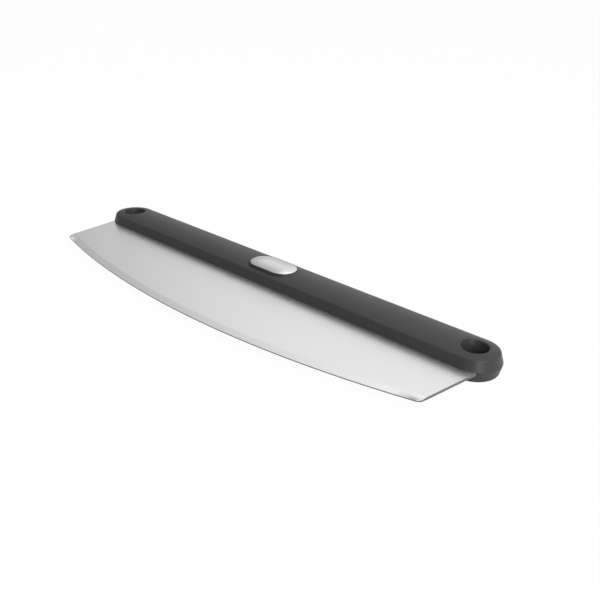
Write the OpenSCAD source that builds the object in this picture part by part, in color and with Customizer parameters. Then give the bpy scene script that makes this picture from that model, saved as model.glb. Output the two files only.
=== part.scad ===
// Rocking pizza knife: a long steel blade with a curved edge, clamped flat
// between the two shells of a full-length handle, with a metal badge on top.
// The knife lies flat: +X runs along the handle, the cutting edge faces -Y,
// +Z points up through the badge, and the origin is at the centre of the
// flat underside of the handle.

/* [Handle outside] */
// Overall length of the handle
handle_len = 380; // [350:1:420]
// Width of the handle at the joint between its two shells
handle_w = 36.4; // [35:0.2:40]
// Height of the lower shell
lower_h = 7.7; // [7.2:0.1:9]
// Width of the flat underside, before its edge is rounded
under_w = 33.2; // [31:0.2:34.6]
// Rounding radius of the underside's edge
under_round = 2.4; // [1:0.1:3]
// Height of the upper shell's side wall
upper_h = 7.1; // [6.6:0.1:9]
// Width across the tops of the side walls, before the edge is rounded
top_w = 32; // [30:0.2:34]
// Extra height of the top face along its centre line
crown_rise = 2.2; // [1.6:0.1:3]
// Rounding radius of the top face's edge
top_round = 1.5; // [0.8:0.1:2]
// Bevel on both shells' rims, which draws the fine joint line
joint_bevel = 0.2; // [0.1:0.05:0.4]

/* [Handle inside] */
// Thickness of the side walls at the top of the cavity
side_wall = 2.8; // [2.2:0.1:3.2]
// Thickness of the top face over the cavity
roof_t = 2.6; // [2:0.1:3]
// Thickness of the lower shell's floor
floor_t = 2.4; // [1.8:0.1:3]
// Thickness of the cross ribs
rib_t = 2; // [1.2:0.1:3]
// Wall left round each hanging hole, at its rim
collar_wall = 1.6; // [1:0.1:2]

/* [Hanging holes] */
// Radius of the narrowest, straight stretch of each hanging hole
hang_r = 7; // [5:0.1:7.5]
// Length of the straight stretch, half of it in each shell
hang_land = 5; // [3:0.5:7]
// Radius of each hole where its cone meets the outside
hang_rim_r = 9; // [8:0.1:9.4]
// Size of the bevel on the rims
hang_lip = 0.6; // [0.3:0.1:1]

/* [Blade] */
// Thickness of the blade
blade_t = 2; // [1.5:0.1:2.5]
// Height of the blade's upper face above the joint line
blade_rise = 0.35; // [0.1:0.05:0.6]
// Length of the blade along the handle's front
blade_len = 364.4; // [350:0.2:368]
// How far the cutting edge stands out from the handle's front, at the middle
blade_depth = 69.7; // [50:0.1:90]
// Lean of the blade's two ends towards the middle, in degrees
end_lean = 7.24; // [0:0.01:12]
// Radius of the curved cutting edge
edge_arc_r = 669.5; // [450:0.5:1200]
// Rounding radius of the blade's two outer corners
corner_r = 4; // [2:0.5:8]
// Width of the ground bevel along the cutting edge
bevel_w = 5.9; // [3:0.1:10]
// Thickness left at the blunt cutting edge
edge_t = 0.8; // [0.4:0.05:1.2]

/* [Tang] */
// How far the hidden tang reaches past the handle's centre line
tang_reach = 11; // [8:0.1:12]
// Half the length of the tang
tang_half = 156; // [145:0.5:156]
// Rounding radius of the tang's corners
tang_corner = 3; // [1:0.5:5]
// Gap left round the tang and the blade's ends in the shells
tang_gap = 0.2; // [0.1:0.05:0.3]

/* [Screws] */
// Screws on each side of the middle
screws_each_side = 3; // [2:1:3]
// Distance of the first screw from the middle
screw_first = 38; // [34:0.5:44]
// Distance from one screw to the next
screw_pitch = 54; // [45:0.5:55]
// Radius of the screw's shank
screw_r = 1.5; // [1.2:0.05:1.8]
// Length of the screw under its head
screw_len = 10; // [8:0.5:10.5]
// Radius of the screw's head
head_r = 2.8; // [2.3:0.1:3]
// Height of the screw's head
head_h = 2; // [1.6:0.1:2.2]
// Width of the cross recess in the head
cross_w = 0.8; // [0.5:0.1:1]
// Depth of the cross recess
cross_depth = 1; // [0.5:0.1:1.2]
// Radius of the posts that take the screws, which pass through the blade
post_r = 3.8; // [3.2:0.1:4.4]
// Gap between a screw's shank and the hole it cuts its thread in
thread_gap = 0.05; // [0.02:0.01:0.1]
// Gap between the screws and the holes they pass through
screw_gap = 0.2; // [0.1:0.05:0.3]
// Space left past the screw's tip
tip_gap = 0.5; // [0.3:0.1:0.6]
// Wall round each plug recess
plug_wall = 1.8; // [1.2:0.1:2.5]
// Radius of the plugs that close the screw recesses
plug_r = 4.1; // [3.6:0.1:4.6]
// Thickness of the plugs
plug_t = 1.5; // [1:0.1:1.8]
// Gap round the plugs, and how far they sit below the underside
plug_gap = 0.1; // [0.05:0.01:0.15]
// Space between a plug and the screw head above it
head_gap = 0.2; // [0.1:0.05:0.3]

/* [Badge] */
// Length of the badge plate
plate_len = 40; // [34:0.2:46]
// Width of the badge plate
plate_w = 21.4; // [18:0.2:22]
// Thickness of the badge plate
plate_t = 1; // [0.6:0.1:1.2]
// Bevel round the badge plate's upper edge
plate_bevel = 0.15; // [0.05:0.05:0.3]
// Height of the badge plate above the middle of the top face
plate_proud = 0.5; // [0.3:0.05:0.8]
// Thickness of the adhesive pad under the plate
pad_t = 0.3; // [0.2:0.05:0.5]
// How far the pad's edge lies inside the plate's edge
pad_inset = 0.8; // [0.4:0.1:2]
// Gap round the plate in its frame
plate_gap = 0.1; // [0.05:0.01:0.2]
// Width of the frame's rim round the plate
rim_t = 0.6; // [0.4:0.05:0.8]
// Height of the rim above the middle of the top face
rim_proud = 0.4; // [0.2:0.05:0.6]
// How far the frame's foot stands out past the plate
frame_skirt = 2.4; // [1.8:0.1:2.6]
// Gap round the frame in its seat
frame_gap = 0.2; // [0.1:0.05:0.3]
// Depth of the seat under the middle of the top face
seat_depth = 3.7; // [3:0.1:4]
// Thickness of the seat's floor
seat_floor_t = 2; // [1.5:0.1:2.2]
// Radius of the two pegs under the frame
peg_r = 1.6; // [1.2:0.1:2]
// Distance of each peg from the middle
peg_x = 12; // [8:0.5:14]
// Gap round the pegs
peg_gap = 0.1; // [0.05:0.01:0.15]
// Radius of the flattened peg ends
peg_head_r = 2.8; // [2.3:0.1:3.2]
// Height of the flattened peg ends
peg_head_h = 1.2; // [0.8:0.1:1.3]

/* [Hidden] */
$fn = 96;
// Margin by which a cutting shape runs past the face it opens
past = 1;

function unit(v) = v / norm(v);
// Distance along the unit direction u from point p to the far side of the
// circle of radius r about c
function reach_circle(p, u, c, r) =
    -(p - c) * u + sqrt(pow((p - c) * u, 2) - (p - c) * (p - c) + r * r);

// Handle
half_w = handle_w / 2;
joint_z = lower_h;
shoulder_z = joint_z + upper_h;
crown_z = shoulder_z + crown_rise;
hang_x = handle_len / 2 - half_w;
crown_r = (pow(top_w / 2, 2) + pow(crown_rise, 2)) / (2 * crown_rise);
crown_c = [0, crown_z - crown_r];
function crown_at(y) = crown_c.y + sqrt(crown_r * crown_r - y * y);

// Upper side wall, its outward normal and the rounding above it
wall_u = unit([top_w / 2 - half_w, upper_h]);
wall_n = [wall_u.y, -wall_u.x];
wall_start = [half_w, joint_z] - wall_n * top_round;
top_round_c = wall_start
    + wall_u * reach_circle(wall_start, wall_u, crown_c, crown_r - top_round);
top_round_low = top_round_c + wall_n * top_round;
top_round_high = crown_c + (top_round_c - crown_c) * crown_r / (crown_r - top_round);
top_bevel = [half_w, joint_z] + wall_u * joint_bevel;

// Lower side wall, its outward normal and the rounding below it
low_u = unit([half_w - under_w / 2, lower_h]);
low_n = [low_u.y, -low_u.x];
under_round_c = [under_w / 2 - under_round * (1 + low_n.y) / low_n.x, under_round];
under_round_high = under_round_c + low_n * under_round;
low_bevel = [half_w, joint_z] - low_u * joint_bevel;

// Inside
inner_r = top_w / 2 - side_wall;
collar_r = hang_rim_r + collar_wall;
rib_pitch = screw_pitch / 2;
rib_count = 2 * screws_each_side - 1;

// Blade
blade_top = joint_z + blade_rise;
blade_low = blade_top - blade_t;
edge_c = [0, -half_w - blade_depth + edge_arc_r];
end_start = [blade_len / 2, -half_w];
end_u = [-sin(end_lean), -cos(end_lean)];
end_n = [cos(end_lean), -sin(end_lean)];
corner_start = end_start - end_n * corner_r;
corner_c = corner_start
    + end_u * reach_circle(corner_start, end_u, edge_c, edge_arc_r - corner_r);
corner_on_end = corner_c + end_n * corner_r;
corner_on_edge = edge_c + (corner_c - edge_c) * edge_arc_r / (edge_arc_r - corner_r);
corner_outside = corner_c + 2 * (corner_on_end + corner_on_edge - 2 * corner_c);
strip_y = -collar_r - 2 * tang_gap;
bevel_drop = (blade_t - edge_t) / 2;
bevel_span = 2 * asin(blade_len / 2 / edge_arc_r) + 10;
// Half length of the blade at the height y, along its leaning ends
function end_x(y) = end_start.x + (y + half_w) * tan(end_lean);

// Screws and plugs
plug_recess = plug_t + plug_gap;
head_seat = plug_recess + head_gap + head_h;
screw_tip = head_seat + screw_len;
column_r = plug_r + plug_gap + plug_wall;

// Badge
plate_r = plate_w / 2;
badge_reach = plate_len / 2 - plate_r;
plate_top = crown_z + plate_proud;
plate_low = plate_top - plate_t;
pad_low = plate_low - pad_t;
rim_z = crown_z + rim_proud;
rim_r = plate_r + plate_gap + rim_t;
frame_r = plate_r + frame_skirt;
seat_r = frame_r + frame_gap;
seat_z = crown_z - seat_depth;
seat_under = seat_z - seat_floor_t;
foot_z = crown_at(frame_r) - frame_gap / 2;

// A half profile carried round a track of two straight sides and two half
// circles, whose centres lie this far each side of the middle
module sweep(reach) {
    for (side = [-1, 1])
        translate([side * reach, 0, 0])
            rotate([0, 0, -90 * side])
                rotate_extrude(angle = 180)
                    children();
    translate([-reach, 0, 0])
        rotate([90, 0, 90])
            linear_extrude(2 * reach) {
                children();
                mirror([1, 0]) children();
            }
}

// Puts its children at the middle of each screw
module at_screws() {
    for (side = [-1, 1], i = [0 : screws_each_side - 1])
        translate([side * (screw_first + i * screw_pitch), 0, 0])
            children();
}

// Puts its children on the axis of each hanging hole
module at_hanging_holes() {
    for (side = [-1, 1])
        translate([side * hang_x, 0, 0])
            children();
}

// Half outline of the upper shell, cut across the handle
module upper_profile() {
    polygon([
        [0, joint_z], [half_w - joint_bevel, joint_z], top_bevel, top_round_low,
        top_round_c, top_round_high, [0, top_round_high.y]
    ]);
    translate(top_round_c) circle(top_round);
    intersection() {
        translate(crown_c) circle(crown_r, $fn = 4 * $fn);
        translate([0, top_round_high.y]) square([top_round_high.x, crown_rise]);
    }
}

// Half outline of the lower shell, cut across the handle
module lower_profile() {
    polygon([
        [0, 0], [under_round_c.x, 0], under_round_c, under_round_high, low_bevel,
        [half_w - joint_bevel, joint_z], [0, joint_z]
    ]);
    translate(under_round_c) circle(under_round);
}

// Through hole with a straight middle, two cones and bevelled rims
module hanging_hole() {
    land = hang_land / 2;
    rim_top = crown_at(hang_rim_r);
    rotate_extrude()
        polygon([
            [0, -past], [hang_rim_r + hang_lip + past, -past],
            [hang_rim_r, hang_lip], [hang_r, joint_z - land],
            [hang_r, joint_z + land], [hang_rim_r, rim_top - hang_lip],
            [hang_rim_r + hang_lip + crown_rise, rim_top + crown_rise],
            [0, rim_top + crown_rise]
        ]);
}

// Space for the blade and its tang between the shells, open at the front
module blade_pocket() {
    front_y = -half_w - past;
    back_y = strip_y + tang_gap;
    translate([0, 0, blade_low])
        linear_extrude(blade_t) {
            polygon([
                [-end_x(back_y) - tang_gap, back_y], [end_x(back_y) + tang_gap, back_y],
                [end_x(front_y) + tang_gap, front_y], [-end_x(front_y) - tang_gap, front_y]
            ]);
            tang_outline(tang_gap);
        }
}

// Outline of the tang, grown by a gap
module tang_outline(grow) {
    half = tang_half + grow;
    high = tang_reach + grow;
    low = strip_y - tang_corner;
    translate([-half, low]) square([2 * half, high - tang_corner - low]);
    translate([tang_corner - half, low]) square([2 * (half - tang_corner), high - low]);
    for (side = [-1, 1])
        translate([side * (half - tang_corner), high - tang_corner]) circle(tang_corner);
}

// Outline of the whole blade, seen from above
module blade_outline() {
    deep_y = edge_c.y - edge_arc_r - past;
    difference() {
        intersection() {
            translate(edge_c) circle(edge_arc_r, $fn = 12 * $fn);
            polygon([
                [-end_x(strip_y), strip_y], [end_x(strip_y), strip_y],
                [end_x(deep_y), deep_y], [-end_x(deep_y), deep_y]
            ]);
        }
        for (side = [0, 1])
            mirror([side, 0])
                polygon([corner_c, corner_on_end, corner_outside, corner_on_edge]);
    }
    for (side = [-1, 1])
        translate([side * corner_c.x, corner_c.y]) circle(corner_r);
    tang_outline(0);
}

// What the grinding takes off one face along the curved edge
module bevel_cut(face) {
    slope = bevel_drop / bevel_w;
    translate([edge_c.x, edge_c.y, (blade_top + blade_low) / 2])
        rotate([0, 0, -90 - bevel_span / 2])
            rotate_extrude(angle = bevel_span, $fn = 12 * $fn)
                polygon([
                    [edge_arc_r - bevel_w, face * blade_t / 2],
                    [edge_arc_r + past, face * (blade_t / 2 - slope * (bevel_w + past))],
                    [edge_arc_r + past, face * blade_t],
                    [edge_arc_r - bevel_w, face * blade_t]
                ]);
}

// Cross ribs of a shell, from one height to another
module ribs(low, high) {
    for (side = [-1, 1], i = [0 : rib_count - 1])
        translate([side * (screw_first + i * rib_pitch) - rib_t / 2, -inner_r - past, low])
            cube([rib_t, 2 * (inner_r + past), high - low]);
}

// Hollow of the upper shell, which leaves the ribs, collars and badge seat
module upper_hollow() {
    difference() {
        sweep(hang_x)
            intersection() {
                translate(crown_c) circle(crown_r - roof_t, $fn = 4 * $fn);
                translate([0, joint_z - past]) square([inner_r, past + upper_h + crown_rise]);
            }
        at_hanging_holes()
            translate([0, 0, joint_z - 2 * past]) cylinder(r = collar_r, h = upper_h + crown_rise);
        ribs(joint_z - 2 * past, crown_z);
        translate([0, 0, seat_under])
            sweep(badge_reach) square([seat_r + side_wall, seat_depth + seat_floor_t]);
    }
}

// Hollow of the lower shell, which leaves the ribs, collars and screw columns
module lower_hollow() {
    difference() {
        translate([0, 0, floor_t])
            sweep(hang_x) square([inner_r, lower_h]);
        at_hanging_holes() cylinder(r = collar_r, h = lower_h + floor_t + past);
        at_screws() cylinder(r = column_r, h = lower_h + floor_t + past);
        ribs(floor_t - past, lower_h + floor_t + past);
    }
}

// Moulded upper half of the handle, with posts that pass through the blade
module handle_top_shell() {
    color("#3c3c3c")
        difference() {
            union() {
                difference() {
                    sweep(hang_x) upper_profile();
                    upper_hollow();
                    blade_pocket();
                }
                at_screws()
                    translate([0, 0, blade_low]) cylinder(r = post_r, h = shoulder_z - blade_low);
            }
            at_screws()
                translate([0, 0, blade_low - past])
                    cylinder(r = screw_r + thread_gap, h = past + screw_tip + tip_gap - blade_low);
            at_hanging_holes() hanging_hole();
            translate([0, 0, seat_z])
                sweep(badge_reach) square([seat_r, seat_depth + past]);
            for (side = [-1, 1])
                translate([side * peg_x, 0, seat_under - past])
                    cylinder(r = peg_r + peg_gap, h = seat_floor_t + 2 * past);
        }
}

// Moulded lower half of the handle, with recessed screw seats underneath
module handle_bottom_shell() {
    color("#383838")
        difference() {
            sweep(hang_x) lower_profile();
            lower_hollow();
            blade_pocket();
            at_hanging_holes() hanging_hole();
            at_screws() {
                translate([0, 0, -past]) cylinder(r = plug_r + plug_gap, h = past + plug_recess);
                translate([0, 0, -past]) cylinder(r = head_r + screw_gap, h = past + head_seat);
                translate([0, 0, -past]) cylinder(r = screw_r + screw_gap, h = past + lower_h);
            }
        }
}

// Ground steel plate with its tang, drilled for the posts
module blade() {
    color("#d2d3d4")
        difference() {
            translate([0, 0, blade_low]) linear_extrude(blade_t) blade_outline();
            at_screws()
                translate([0, 0, blade_low - past])
                    cylinder(r = post_r + tang_gap, h = blade_t + 2 * past);
            bevel_cut(1);
            bevel_cut(-1);
        }
}

// Screws driven from below through the lower shell into the posts
module shell_screws() {
    color("#9a9a9c")
        at_screws()
            difference() {
                union() {
                    translate([0, 0, head_seat - head_h]) cylinder(r = head_r, h = head_h);
                    translate([0, 0, head_seat]) cylinder(r = screw_r, h = screw_len - screw_r);
                    translate([0, 0, screw_tip - screw_r])
                        cylinder(r1 = screw_r, r2 = screw_r / 2, h = screw_r);
                }
                for (turn = [0, 90])
                    rotate([0, 0, turn])
                        translate([-head_r / 2, -cross_w / 2, head_seat - head_h - past])
                            cube([head_r, cross_w, past + cross_depth]);
            }
}

// Round plugs that close the screw recesses in the underside
module screw_plugs() {
    color("#343434")
        at_screws()
            translate([0, 0, plug_gap]) cylinder(r = plug_r, h = plug_t);
}

// Raised oval frame in its seat, held by two pegs with flattened ends
module badge_frame() {
    color("#333333") {
        difference() {
            union() {
                sweep(badge_reach)
                    polygon([
                        [0, seat_z], [frame_r, seat_z], [frame_r, foot_z], [rim_r, rim_z],
                        [0, rim_z]
                    ]);
                intersection() {
                    translate([0, 0, seat_z]) sweep(badge_reach) square([frame_r, seat_depth]);
                    translate([-handle_len / 2, 0, crown_c.y])
                        rotate([0, 90, 0])
                            cylinder(r = crown_r - frame_gap / 2, h = handle_len, $fn = 4 * $fn);
                }
                for (side = [-1, 1])
                    translate([side * peg_x, 0, seat_under - peg_head_h]) {
                        cylinder(r = peg_r, h = peg_head_h + seat_floor_t + past);
                        cylinder(r = peg_head_r, h = peg_head_h);
                    }
            }
            translate([0, 0, pad_low])
                sweep(badge_reach) square([plate_r + plate_gap, rim_z]);
        }
    }
}

// Thin oval adhesive pad on the frame's floor
module badge_pad() {
    color("#e8e4d8")
        translate([0, 0, pad_low])
            sweep(badge_reach) square([plate_r - pad_inset, pad_t]);
}

// Plain brushed metal plate, glued on the pad
module badge_plate() {
    color("#d8d8d8")
        sweep(badge_reach)
            polygon([
                [0, plate_low], [plate_r, plate_low], [plate_r, plate_top - plate_bevel],
                [plate_r - plate_bevel, plate_top], [0, plate_top]
            ]);
}

handle_top_shell();
handle_bottom_shell();
blade();
shell_screws();
screw_plugs();
badge_frame();
badge_pad();
badge_plate();
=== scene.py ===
"""A rocking pizza knife lying flat on a white table.

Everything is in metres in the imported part's own frame: +X along the handle,
the cutting edge towards -Y, +Z up out of the badge. The sections follow the
knife as it is put together, and the studio and the camera come after it.
"""

import bmesh
import bpy
import numpy as np
from mathutils import Matrix, Vector


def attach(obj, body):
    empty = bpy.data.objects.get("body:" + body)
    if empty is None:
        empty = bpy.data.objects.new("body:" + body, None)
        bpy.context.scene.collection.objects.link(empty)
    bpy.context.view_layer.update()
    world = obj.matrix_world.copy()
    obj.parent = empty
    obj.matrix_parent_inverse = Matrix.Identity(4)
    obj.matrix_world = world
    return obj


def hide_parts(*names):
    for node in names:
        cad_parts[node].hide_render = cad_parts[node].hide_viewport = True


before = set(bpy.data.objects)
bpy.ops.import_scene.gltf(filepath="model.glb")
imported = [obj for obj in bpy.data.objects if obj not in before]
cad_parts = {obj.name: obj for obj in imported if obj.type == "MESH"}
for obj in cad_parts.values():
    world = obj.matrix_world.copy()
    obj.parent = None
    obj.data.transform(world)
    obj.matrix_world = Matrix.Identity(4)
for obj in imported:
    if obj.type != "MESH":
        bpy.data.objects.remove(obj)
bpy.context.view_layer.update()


# Lower shell
# The flat-bottomed half of the handle, moulded in dark grey nylon from a
# finely spark-eroded mould. The blade's tang is laid in it first.
SHELL_GREYS = (0.035, 0.040)  # darkest and lightest
SHELL_ROUGHNESS = 0.40
NYLON_SHINE = 0.2  # specular level
NYLON_SWING = 0.05  # how far its roughness strays either way
CLOUDS_PER_METRE = (60.0, 60.0, 60.0)
CLOUD_DETAIL = 4.0
PATCHES_PER_METRE = (900.0, 900.0, 900.0)
PATCH_DETAIL = 2.0
PITS_PER_METRE = (2600.0, 2600.0, 2600.0)
PIT_DETAIL = 1.0
PIT_DEPTH = 0.00004  # metres
PIT_STRENGTH = 0.35
MOULDED_CREASE = 24.0  # degrees
SAME_POINT = 1e-6  # metres under which points are merged


def new_finish(name):
    """An empty material, its node tree and its Principled shader."""
    finish = bpy.data.materials.new(name)
    finish.use_nodes = True
    return finish, finish.node_tree, finish.node_tree.nodes["Principled BSDF"]


def grain(tree, per_metre, detail):
    """Noise from 0 to 1 over the piece's own coordinates times per_metre, the grains on each axis."""
    place = tree.nodes.new("ShaderNodeTexCoord")
    stretch = tree.nodes.new("ShaderNodeMapping")
    stretch.inputs["Scale"].default_value = per_metre
    tree.links.new(place.outputs["Object"], stretch.inputs["Vector"])
    noise = tree.nodes.new("ShaderNodeTexNoise")
    noise.inputs["Scale"].default_value = 1.0
    noise.inputs["Detail"].default_value = detail
    tree.links.new(stretch.outputs["Vector"], noise.inputs["Vector"])
    return noise.outputs["Fac"]


def tone(tree, value, greys):
    """A colour that runs from the first grey to the second as value goes from 0 to 1."""
    ramp = tree.nodes.new("ShaderNodeValToRGB")
    for stop, grey in zip(ramp.color_ramp.elements, greys):
        stop.color = (grey, grey, grey, 1.0)
    tree.links.new(value, ramp.inputs["Fac"])
    return ramp.outputs["Color"]


def roughen(tree, shader, value, middle, swing):
    """Roughness from middle less swing to middle plus swing as value goes from 0 to 1."""
    span = tree.nodes.new("ShaderNodeMapRange")
    span.inputs["To Min"].default_value = middle - swing
    span.inputs["To Max"].default_value = middle + swing
    tree.links.new(value, span.inputs["Value"])
    tree.links.new(span.outputs["Result"], shader.inputs["Roughness"])


def emboss(tree, shader, value, depth, strength):
    """A surface that stands up by value times depth."""
    relief = tree.nodes.new("ShaderNodeBump")
    relief.inputs["Distance"].default_value = depth
    relief.inputs["Strength"].default_value = strength
    tree.links.new(value, relief.inputs["Height"])
    tree.links.new(relief.outputs["Normal"], shader.inputs["Normal"])


def moulded_nylon(name, greys, roughness):
    """Nylon whose grey drifts in wide clouds and its gloss in small patches, pitted by the mould."""
    finish, tree, shader = new_finish(name)
    clouds = grain(tree, CLOUDS_PER_METRE, CLOUD_DETAIL)
    patches = grain(tree, PATCHES_PER_METRE, PATCH_DETAIL)
    pits = grain(tree, PITS_PER_METRE, PIT_DETAIL)
    tree.links.new(tone(tree, clouds, greys), shader.inputs["Base Color"])
    roughen(tree, shader, patches, roughness, NYLON_SWING)
    emboss(tree, shader, pits, PIT_DEPTH, PIT_STRENGTH)
    shader.inputs["Specular IOR Level"].default_value = NYLON_SHINE
    return finish


def stand_in(mesh, finish, crease, node):
    """A piece of the knife that stands for a node, sharp where its faces turn by over crease degrees."""
    mesh.materials.clear()
    mesh.materials.append(finish)
    mesh.set_sharp_from_angle(angle=np.radians(crease))
    piece = bpy.data.objects.new(mesh.name, mesh)
    bpy.context.scene.collection.objects.link(piece)
    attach(piece, "root")
    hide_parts(node)


def merged_copy(name, node):
    """A copy of a node's solid whose loose triangles share their points."""
    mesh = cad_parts[node].data.copy()
    mesh.name = name
    solid = bmesh.new()
    solid.from_mesh(mesh)
    bmesh.ops.remove_doubles(solid, verts=solid.verts, dist=SAME_POINT)
    solid.to_mesh(mesh)
    solid.free()
    return mesh


lower_plastic = moulded_nylon("lower_plastic", SHELL_GREYS, SHELL_ROUGHNESS)
lower_mesh = merged_copy("lower_shell", "handle_bottom_shell")
stand_in(lower_mesh, lower_plastic, MOULDED_CREASE, "handle_bottom_shell")


# Blade
# A plate of stainless steel, linished along its length to an even satin and
# ground to a bevel and a blunt edge. The shells clamp its tang.
BLADE_GREYS = (0.82, 0.91)
BLADE_ROUGHNESS = 0.34
BLADE_SCRATCHES = (30.0, 2600.0, 2600.0)  # grains per metre, long ones along X
BLADE_CREASE = 2.0  # degrees, so the bevel keeps its line
STEEL_SWING = 0.06  # how far its roughness strays either way
SCRATCH_DETAIL = 3.0
SCRATCH_DEPTH = 0.000012
SCRATCH_STRENGTH = 0.3
UPRIGHT_SHADED_GREY = 0.22  # share of the grey that an upright face keeps under its painted shade
UPRIGHT = 0.3  # height part of a normal under which a face takes the full painted shade
LEVEL = 0.8  # and over which it has no painted shade and keeps all its grey


def paint_shade_on_upright_faces(tree, colour):
    """The colour with shade painted on where the face stands upright, rising evenly to the colour itself.

    The painted shade stands for the dark that the blade's edge and other upright faces show where they
    face the shadowed table. Where the shade is full, a face keeps only a share of its grey. The shade
    fades as the height part of the normal, without its sign, goes from UPRIGHT to LEVEL.
    """
    facing = tree.nodes.new("ShaderNodeTexCoord")
    parts = tree.nodes.new("ShaderNodeSeparateXYZ")
    tree.links.new(facing.outputs["Normal"], parts.inputs["Vector"])
    upward = tree.nodes.new("ShaderNodeMath")
    upward.operation = "ABSOLUTE"
    tree.links.new(parts.outputs["Z"], upward.inputs[0])
    share = tree.nodes.new("ShaderNodeMapRange")
    share.inputs["From Min"].default_value = UPRIGHT
    share.inputs["From Max"].default_value = LEVEL
    share.inputs["To Min"].default_value = UPRIGHT_SHADED_GREY
    tree.links.new(upward.outputs["Value"], share.inputs["Value"])
    darker = tree.nodes.new("ShaderNodeVectorMath")
    darker.operation = "SCALE"
    tree.links.new(colour, darker.inputs["Vector"])
    tree.links.new(share.outputs["Result"], darker.inputs["Scale"])
    return darker.outputs["Vector"]


def satin_steel(name, greys, roughness, scratches_per_metre):
    """Steel whose grey, gloss and relief follow one noise of scratches, with shade painted dark on its
    upright faces.
    """
    finish, tree, shader = new_finish(name)
    scratches = grain(tree, scratches_per_metre, SCRATCH_DETAIL)
    # Painted shade on the upright faces, the blade's edge among them, darkens the steel's own grey there.
    colour = paint_shade_on_upright_faces(tree, tone(tree, scratches, greys))
    tree.links.new(colour, shader.inputs["Base Color"])
    roughen(tree, shader, scratches, roughness, STEEL_SWING)
    emboss(tree, shader, scratches, SCRATCH_DEPTH, SCRATCH_STRENGTH)
    shader.inputs["Metallic"].default_value = 1.0
    return finish


blade_satin = satin_steel("blade_satin", BLADE_GREYS, BLADE_ROUGHNESS, BLADE_SCRATCHES)
stand_in(merged_copy("blade_plate", "blade"), blade_satin, BLADE_CREASE, "blade")


# Upper shell
# The crowned half of the handle, in the same nylon, which closes over the
# tang. A tapered hanging hole with a round lip goes through it at each end.
HANDLE_HALF = 0.19  # middle to either end, at the joint
JOINT_HALF = 0.0182  # half width at the joint between the shells
JOINT_Z = 0.0077  # height of the joint
JOINT_BEVEL = 0.0002  # fine bevel along it
SHOULDER_HALF = 0.016  # half width where the wall would meet the crown
SHOULDER_Z = 0.0148  # height there
SHOULDER_ROUND = 0.0015  # radius between them
CROWN_RISE = 0.0022  # middle of the crown over that height
HOLE_X = HANDLE_HALF - JOINT_HALF
HOLE_BORE = 0.007  # narrowest radius
HOLE_LAND = 0.0025  # straight part over the joint
HOLE_RIM = 0.009  # radius where the taper would reach the crown
HOLE_LIP = 0.0009  # radius of the round lip outside it
HOLE_MOUTH = HOLE_RIM + HOLE_LIP
UPPER_CREASE = 30.0

END_RAYS = 49
MOUTH_RAYS = 24
SIDE_RAYS = 79
CROWN_ROWS = 14
SHOULDER_ROWS = 8
WALL_ROWS = 4
LIP_ROWS = 9
TAPER_ROWS = 5
ON_MOUTH = 1e-7  # metres within which a point is on a mouth
SAME_ANGLE = 1e-6  # radians under which rays are one
SEAM_POINT = 2e-7  # metres under which points are merged
NO_LENGTH = 1e-8  # metres under which an edge is dropped
NANOMETRE_DIGITS = 9  # so that mirrored rays match

crown_radius = (SHOULDER_HALF**2 + CROWN_RISE**2) / (2 * CROWN_RISE)
crown_centre = np.array([0.0, SHOULDER_Z + CROWN_RISE - crown_radius])


def crown_height(away):
    """Height of the crown, a circle of crown_radius, at a distance away from the middle of the handle."""
    return crown_centre[1] + np.sqrt(crown_radius**2 - away**2)


def turn_of(way):
    """Angle of a way in the section, the arc tangent of its height over its distance out."""
    return np.arctan2(way[1], way[0])


def shell_profile():
    """Half section from the crown's edge to the joint, as rows of distance away and height.

    The shoulder is an arc of SHOULDER_ROUND. Its centre is that far inside both the wall and the crown,
    which is where a line beside the wall meets a smaller circle round the crown's centre.
    """
    joint = np.array([JOINT_HALF, JOINT_Z])
    up_wall = np.array([SHOULDER_HALF, SHOULDER_Z]) - joint
    up_wall /= np.linalg.norm(up_wall)
    outward = np.array([up_wall[1], -up_wall[0]])
    beside = joint - outward * SHOULDER_ROUND - crown_centre
    along = beside @ up_wall
    climb = -along + np.sqrt(along**2 - beside @ beside + (crown_radius - SHOULDER_ROUND) ** 2)
    centre = crown_centre + beside + up_wall * climb
    turn = np.linspace(turn_of(centre - crown_centre), turn_of(outward), SHOULDER_ROWS + 1)[:, None]
    shoulder = centre + SHOULDER_ROUND * np.hstack([np.cos(turn), np.sin(turn)])
    wall_foot = joint + up_wall * JOINT_BEVEL
    down = np.linspace(0.0, 1.0, WALL_ROWS + 1)[1:, None]
    wall = shoulder[-1] + down * (wall_foot - shoulder[-1])
    bevel_foot = joint - [JOINT_BEVEL, 0.0]
    return np.vstack([shoulder, wall, bevel_foot])


def rays_round_handle():
    """Rays out from the middle line, once round the handle: their X, direction, and where the grid starts.

    Along the sides they point along Y, and the grid starts half a chord of the hole's mouth out, or on the
    line itself between the holes. Round the ends they fan out from the hole's centre, from its mouth on.
    """
    fan = np.linspace(0.0, np.pi / 2, MOUTH_RAYS, endpoint=False)
    near_mouth = HOLE_X - HOLE_MOUTH * np.cos(fan)
    between = np.linspace(-near_mouth[0], near_mouth[0], SIDE_RAYS + 2)[1:-1]
    side = np.round(np.concatenate([-near_mouth[::-1], between, near_mouth]), NANOMETRE_DIGITS)
    half_chord = np.sqrt(np.maximum(HOLE_MOUTH**2 - (HOLE_X - np.abs(side)) ** 2, 0.0))
    end = np.full(END_RAYS, HOLE_X)
    mouth = np.full(END_RAYS, HOLE_MOUTH)
    turn = np.linspace(np.pi / 2, -np.pi / 2, END_RAYS)
    start = np.concatenate([side, end, side[::-1], -end])
    none = np.zeros_like(side)
    full = np.ones_like(side)
    way_x = np.concatenate([none, np.cos(turn), none, -np.cos(turn)])
    way_y = np.concatenate([full, np.sin(turn), -full, -np.sin(turn)])
    first = np.concatenate([half_chord, mouth, half_chord[::-1], mouth])
    return start, way_x, way_y, first


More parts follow.
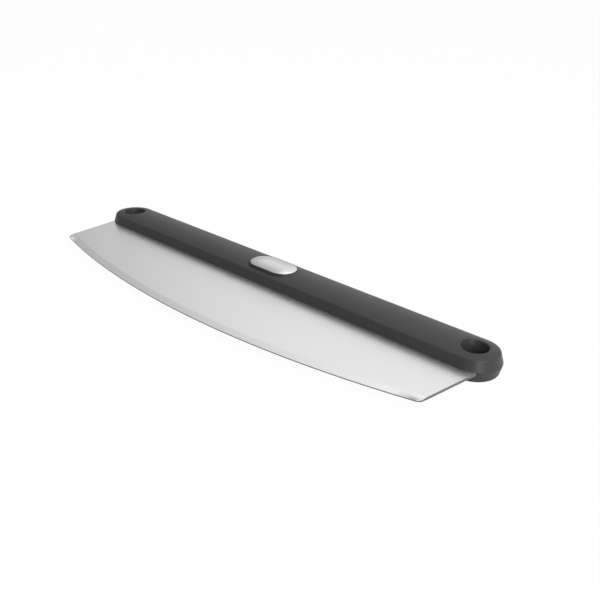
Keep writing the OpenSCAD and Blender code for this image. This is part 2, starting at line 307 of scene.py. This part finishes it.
def shell_outside():
    """Grid of the outside: a point lies on its ray at a distance away, at the section's height there.

    The rows run down the crown, the shoulder and the wall, and the last one closes the joint face. It lies
    on the bore of a hole where the grid starts at its mouth, and on the middle line elsewhere.
    """
    start, way_x, way_y, first = rays_round_handle()
    profile = shell_profile()
    crown = first + np.linspace(0.0, 1.0, CROWN_ROWS)[:, None] * (profile[0, 0] - first)
    below = profile[1:, :, None] * np.ones_like(first)
    away = np.vstack([crown, below[:, 0]])
    height = np.vstack([crown_height(crown), below[:, 1]])
    x = start + away * way_x
    y = away * way_y
    hole = np.where(x[0] > 0, HOLE_X, -HOLE_X)
    at_mouth = np.hypot(x[0] - hole, y[0]) < HOLE_MOUTH + ON_MOUTH
    shrink = HOLE_BORE / HOLE_MOUTH
    last_x = np.where(at_mouth, hole + (x[0] - hole) * shrink, x[0])
    last_y = np.where(at_mouth, y[0] * shrink, 0.0)
    joint_face = np.stack([last_x, last_y, np.full_like(first, JOINT_Z)], -1)
    return np.concatenate([np.stack([x, y, height], -1), joint_face[None]])


def hanging_hole(side, outside):
    """Grid of a hole's wall under its mouth: a quarter turn of lip, a straight taper, a straight land."""
    hole = np.array([side * HOLE_X, 0.0, 0.0])
    mouth = outside[0] - hole
    mouth = mouth[np.hypot(mouth[:, 0], mouth[:, 1]) < HOLE_MOUTH + ON_MOUTH]
    angle = np.arctan2(mouth[:, 1], mouth[:, 0])
    order = np.argsort(angle)
    mouth = mouth[order][np.append(np.diff(angle[order]) > SAME_ANGLE, True)]
    way_x, way_y, mouth_z = (mouth / [HOLE_MOUTH, HOLE_MOUTH, 1.0]).T
    lip_foot = mouth_z - HOLE_LIP
    land_top = JOINT_Z + HOLE_LAND
    slope = (HOLE_RIM - HOLE_BORE) / (crown_height(HOLE_RIM) - land_top)
    foot_radius = HOLE_BORE + slope * (lip_foot - land_top)
    turn = np.linspace(0.0, np.pi / 2, LIP_ROWS)[:, None]
    down = np.linspace(0.0, 1.0, TAPER_ROWS + 1)[1:, None]
    radius = np.vstack([
        HOLE_MOUTH - (HOLE_MOUTH - foot_radius) * np.sin(turn),
        foot_radius + down * (HOLE_BORE - foot_radius),
        np.full_like(lip_foot, HOLE_BORE)
    ])
    height = np.vstack([
        mouth_z - HOLE_LIP * (1 - np.cos(turn)),
        lip_foot + down * (land_top - lip_foot),
        np.full_like(lip_foot, JOINT_Z)
    ])
    return np.stack([hole[0] + radius * way_x, radius * way_y, height], -1)


def ring_faces(rows, columns):
    """Four-sided faces between the rows of a grid, whose last column joins its first."""
    row = np.arange(rows - 1)[:, None] * columns
    column = np.arange(columns)
    after = (column + 1) % columns
    corners = [row + column, row + after, row + columns + after, row + columns + column]
    return np.stack(corners, -1).reshape(-1, 4)


def closed_mesh(name, grids):
    """One smooth mesh of all the grids, with their seams merged and every face turned outwards."""
    points = np.concatenate([grid.reshape(-1, 3) for grid in grids])
    faces = []
    used = 0
    for grid in grids:
        rows, columns = grid.shape[:2]
        faces.append(used + ring_faces(rows, columns))
        used += rows * columns
    mesh = bpy.data.meshes.new(name)
    mesh.from_pydata(points.tolist(), [], np.concatenate(faces).tolist())
    solid = bmesh.new()
    solid.from_mesh(mesh)
    bmesh.ops.remove_doubles(solid, verts=solid.verts, dist=SEAM_POINT)
    bmesh.ops.dissolve_degenerate(solid, edges=solid.edges, dist=NO_LENGTH)
    bmesh.ops.recalc_face_normals(solid, faces=solid.faces)
    solid.to_mesh(mesh)
    solid.free()
    mesh.shade_smooth()
    return mesh


outside = shell_outside()
shell_grids = [outside, hanging_hole(1, outside), hanging_hole(-1, outside)]
upper_plastic = moulded_nylon("upper_plastic", SHELL_GREYS, SHELL_ROUGHNESS)
upper_mesh = closed_mesh("upper_shell", shell_grids)
stand_in(upper_mesh, upper_plastic, UPPER_CREASE, "handle_top_shell")


# Clamp screws
# Plated self-tapping screws, driven up from below through the lower shell and
# the tang into the upper shell's posts.
PLATING_GREYS = (0.4, 0.5)
PLATING_ROUGHNESS = 0.3
PLATING_GRAIN = (900.0, 900.0, 900.0)
SCREW_CREASE = 30.0

screw_plating = satin_steel("screw_plating", PLATING_GREYS, PLATING_ROUGHNESS, PLATING_GRAIN)
screw_mesh = merged_copy("clamp_screws", "shell_screws")
stand_in(screw_mesh, screw_plating, SCREW_CREASE, "shell_screws")


# Underside plugs
# Round plugs of the handle's nylon, pressed over the screw heads so that no
# food gathers in their recesses.
PLUG_GREYS = (0.030, 0.036)
PLUG_ROUGHNESS = 0.45
PLUG_CREASE = 30.0

plug_satin = moulded_nylon("plug_satin", PLUG_GREYS, PLUG_ROUGHNESS)
plug_mesh = merged_copy("underside_plugs", "screw_plugs")
stand_in(plug_mesh, plug_satin, PLUG_CREASE, "screw_plugs")


# Raised frame
# An oval surround in a smoother and darker nylon, with sloping sides, pegged
# into its seat in the middle of the upper shell.
FRAME_GREYS = (0.022, 0.026)
FRAME_ROUGHNESS = 0.36

frame_satin = moulded_nylon("frame_satin", FRAME_GREYS, FRAME_ROUGHNESS)
frame_mesh = merged_copy("raised_frame", "badge_frame")
stand_in(frame_mesh, frame_satin, MOULDED_CREASE, "badge_frame")


# Adhesive pad
# A thin pad of pale foam tape, which holds the metal plate in its frame and is
# hidden under it.
FOAM_GREYS = (0.6, 0.75)
FOAM_ROUGHNESS = 0.9
FOAM_CLOUDS = (1500.0, 1500.0, 1500.0)
FOAM_CELLS = (3000.0, 3000.0, 3000.0)
FOAM_DETAIL = 2.0
CELL_DEPTH = 0.00005
CELL_STRENGTH = 0.5
PAD_CREASE = 30.0


def foam_tape(name):
    """Pale foam whose grey drifts in clouds, with finer open cells in its surface."""
    finish, tree, shader = new_finish(name)
    clouds = grain(tree, FOAM_CLOUDS, FOAM_DETAIL)
    cells = grain(tree, FOAM_CELLS, FOAM_DETAIL)
    tree.links.new(tone(tree, clouds, FOAM_GREYS), shader.inputs["Base Color"])
    emboss(tree, shader, cells, CELL_DEPTH, CELL_STRENGTH)
    shader.inputs["Roughness"].default_value = FOAM_ROUGHNESS
    return finish


pad_mesh = merged_copy("adhesive_pad", "badge_pad")
stand_in(pad_mesh, foam_tape("pad_foam"), PAD_CREASE, "badge_pad")


# Metal plate
# A plain oval blanked from thin satin metal and brushed along its length,
# stuck down inside the frame.
PLATE_GREYS = (0.72, 0.82)
PLATE_ROUGHNESS = 0.36
PLATE_SCRATCHES = (160.0, 3200.0, 3200.0)
PLATE_CREASE = 20.0

badge_satin = satin_steel("badge_satin", PLATE_GREYS, PLATE_ROUGHNESS, PLATE_SCRATCHES)
plate_mesh = merged_copy("metal_plate", "badge_plate")
stand_in(plate_mesh, badge_satin, PLATE_CREASE, "badge_plate")


# Table
# A white table top under the knife. The camera sees it nearly at its own full
# white, and the small rest is paint, which keeps a trace of the knife's shadow.
TABLE_HALF = 6.0
TABLE_OWN_LIGHT = 0.97  # share of the light that is its own
TABLE_PAINT = (0.9, 0.9, 0.9, 1.0)

table_mesh = bpy.data.meshes.new("floor")
ends = (-TABLE_HALF, TABLE_HALF)
table_corners = [(x, y, 0.0) for y in ends for x in ends]
table_mesh.from_pydata(table_corners, [], [(0, 1, 3, 2)])
table = bpy.data.objects.new("floor", table_mesh)
bpy.context.scene.collection.objects.link(table)

table_white = bpy.data.materials.new("white_floor")
table_white.use_nodes = True
table_tree = table_white.node_tree
table_tree.nodes.clear()
paint = table_tree.nodes.new("ShaderNodeBsdfDiffuse")
paint.inputs["Color"].default_value = TABLE_PAINT
glow = table_tree.nodes.new("ShaderNodeEmission")
seen = table_tree.nodes.new("ShaderNodeLightPath")
glow_share = table_tree.nodes.new("ShaderNodeMath")
glow_share.operation = "MULTIPLY"
glow_share.inputs[1].default_value = TABLE_OWN_LIGHT
blend = table_tree.nodes.new("ShaderNodeMixShader")
table_out = table_tree.nodes.new("ShaderNodeOutputMaterial")
table_tree.links.new(seen.outputs["Is Camera Ray"], glow_share.inputs[0])
table_tree.links.new(glow_share.outputs["Value"], blend.inputs["Fac"])
table_tree.links.new(paint.outputs["BSDF"], blend.inputs[1])
table_tree.links.new(glow.outputs["Emission"], blend.inputs[2])
table_tree.links.new(blend.outputs["Shader"], table_out.inputs["Surface"])
table_mesh.materials.append(table_white)


# Room
# White to the camera. Its light on the knife is brighter from behind and from
# the right, and dimmer from the left and the front, which shades the blade.
ROOM_DIM = 0.4
ROOM_BRIGHT = 0.9
BRIGHT_WAY = (0.55, 0.80, 0.0)
DIM_UNDER = -0.2  # all dim where a direction times BRIGHT_WAY is less
BRIGHT_OVER = 0.22  # all bright where it is more

room = bpy.data.worlds.new("white_room")
room.use_nodes = True
bpy.context.scene.world = room
room_tree = room.node_tree
room_light = room_tree.nodes["Background"]
room_light.inputs["Color"].default_value = (1.0, 1.0, 1.0, 1.0)
way = room_tree.nodes.new("ShaderNodeTexCoord")
towards_bright = room_tree.nodes.new("ShaderNodeVectorMath")
towards_bright.operation = "DOT_PRODUCT"
towards_bright.inputs[1].default_value = BRIGHT_WAY
room_tone = room_tree.nodes.new("ShaderNodeMapRange")
room_tone.interpolation_type = "SMOOTHSTEP"
room_tone.inputs["From Min"].default_value = DIM_UNDER
room_tone.inputs["From Max"].default_value = BRIGHT_OVER
room_tone.inputs["To Min"].default_value = ROOM_DIM
room_tone.inputs["To Max"].default_value = ROOM_BRIGHT
ray = room_tree.nodes.new("ShaderNodeLightPath")
room_level = room_tree.nodes.new("ShaderNodeMix")
room_level.inputs["B"].default_value = 1.0
room_tree.links.new(way.outputs["Generated"], towards_bright.inputs[0])
room_tree.links.new(towards_bright.outputs["Value"], room_tone.inputs["Value"])
room_tree.links.new(ray.outputs["Is Camera Ray"], room_level.inputs["Factor"])
room_tree.links.new(room_tone.outputs["Result"], room_level.inputs["A"])
room_tree.links.new(room_level.outputs["Result"], room_light.inputs["Strength"])


# Lamps
# A broad soft box overhead, and two small ones on the right: a high one for
# the shoulder of the handle's near end, and a low one for the wall under it.
NEAR_END = (0.17, 0.0, 0.0)


def soft_box(name, place, aim, width, height, watts):
    """A rectangular lamp of so many watts at place, which faces aim."""
    light = bpy.data.lights.new(name, "AREA")
    light.shape = "RECTANGLE"
    light.size = width
    light.size_y = height
    light.energy = watts
    lamp = bpy.data.objects.new(name, light)
    bpy.context.scene.collection.objects.link(lamp)
    turn = (Vector(aim) - Vector(place)).to_track_quat("-Z", "Y")
    lamp.matrix_world = Matrix.Translation(place) @ turn.to_matrix().to_4x4()


soft_box("top_box", place=(0.1, 0.4, 1.4), aim=(0.0, 0.0, 0.0), width=1.4, height=1.0, watts=2.5)
soft_box("right_box", place=(0.85, -0.2, 1.0), aim=NEAR_END, width=0.3, height=0.3, watts=8.0)
soft_box("low_box", place=(1.2, -0.7, 0.2), aim=NEAR_END, width=0.35, height=0.3, watts=5.0)


# Camera
# It stands off the right end of the cutting edge and looks down at the knife,
# rolled a little, as the photograph's does.
CAMERA_PLACE = Vector((0.36215, -0.37454, 0.23224))
CAMERA_AIM = Vector((0.04157, -0.01564, 0.0077))
CAMERA_ROLL = 2.212  # degrees, about its own axis
CAMERA_LENS = 45.3  # millimetres
CAMERA_SENSOR = 36.0  # millimetres
CAMERA_NEAR = 0.01

lens = bpy.data.cameras.new("camera")
lens.lens = CAMERA_LENS
lens.sensor_width = CAMERA_SENSOR
lens.clip_start = CAMERA_NEAR
camera = bpy.data.objects.new("camera", lens)
bpy.context.scene.collection.objects.link(camera)
level_turn = (CAMERA_AIM - CAMERA_PLACE).to_track_quat("-Z", "Y").to_matrix().to_4x4()
roll = Matrix.Rotation(np.radians(CAMERA_ROLL), 4, "Z")
camera.matrix_world = Matrix.Translation(CAMERA_PLACE) @ level_turn @ roll
bpy.context.scene.camera = camera
bpy.context.scene.view_settings.view_transform = "Standard"
